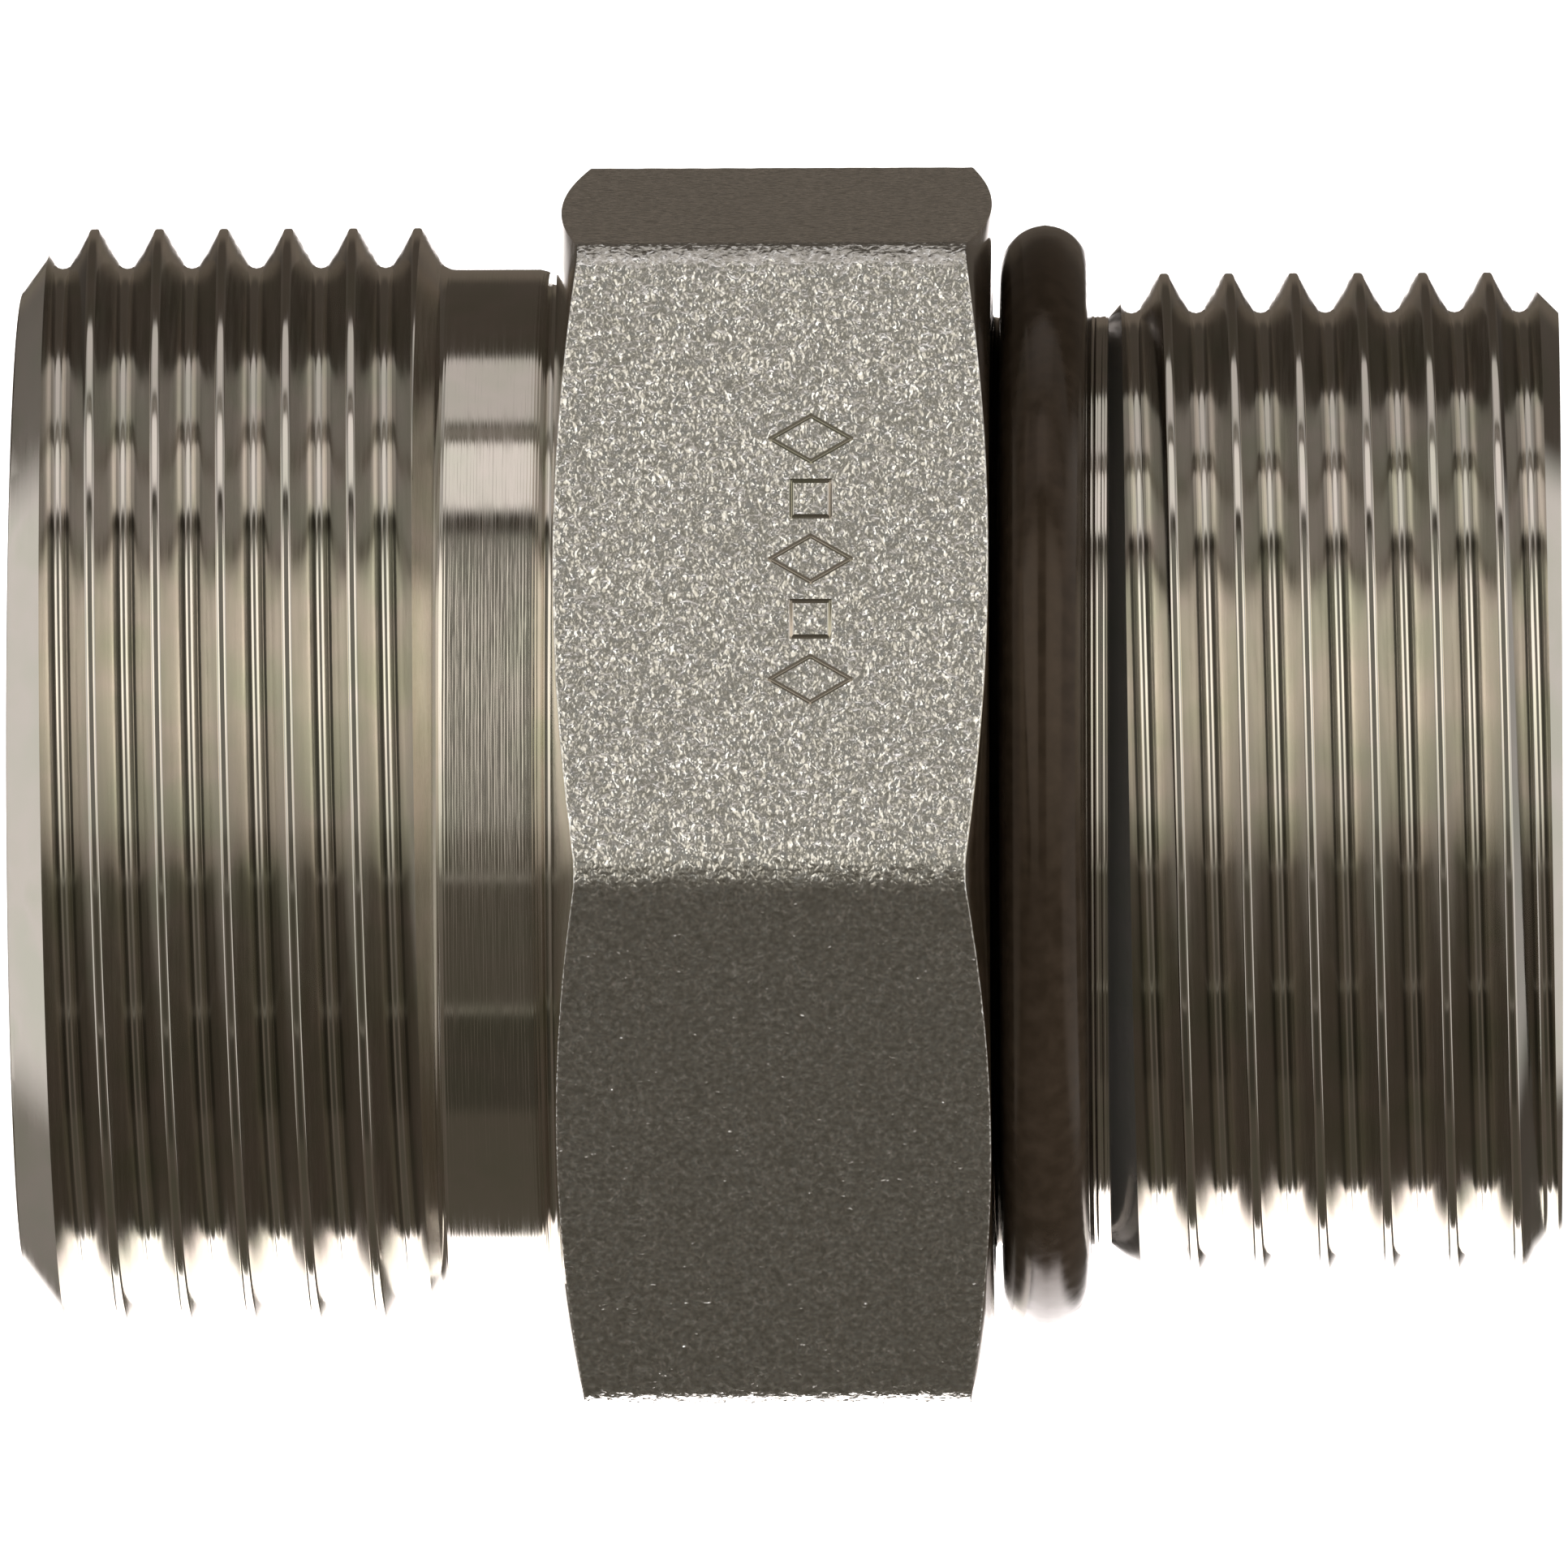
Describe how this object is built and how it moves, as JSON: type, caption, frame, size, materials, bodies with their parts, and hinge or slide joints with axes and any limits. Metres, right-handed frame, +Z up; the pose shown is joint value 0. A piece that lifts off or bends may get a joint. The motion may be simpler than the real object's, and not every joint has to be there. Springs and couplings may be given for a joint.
{
  "type": "hydraulic hex adapter",
  "caption": "Straight plated-steel hydraulic adapter: hex in the middle, flat-face-seal male thread on one end, O-ring port stud on the other, straight bore through.",
  "frame": {"origin": "on the axis of flow, in the plane of the hex face that seats on the port", "axes": "+X along the bore, into the port, towards the stud end; -X towards the face-seal end; +Z up, with one hex flat facing straight down"},
  "size_m": [0.0504, 0.0434, 0.038],
  "materials": {
    "plated_steel": "zinc-nickel plated steel: bright turned threads and relief, blasted grey hex flats",
    "seal_rubber": "smooth black moulded nitrile rubber"
  },
  "bodies": {
    "fitting": {"fitting_body": "plated_steel", "face_seal_o_ring": "seal_rubber"},
    "stud_seal": {"stud_o_ring": "seal_rubber"}
  },
  "joints": [
    {"name": "stud_seal_slide", "type": "slide", "parent": "fitting", "child": "stud_seal", "axis": [1, 0, 0], "range_m": [-0.0002, 0.0011]}
  ]
}
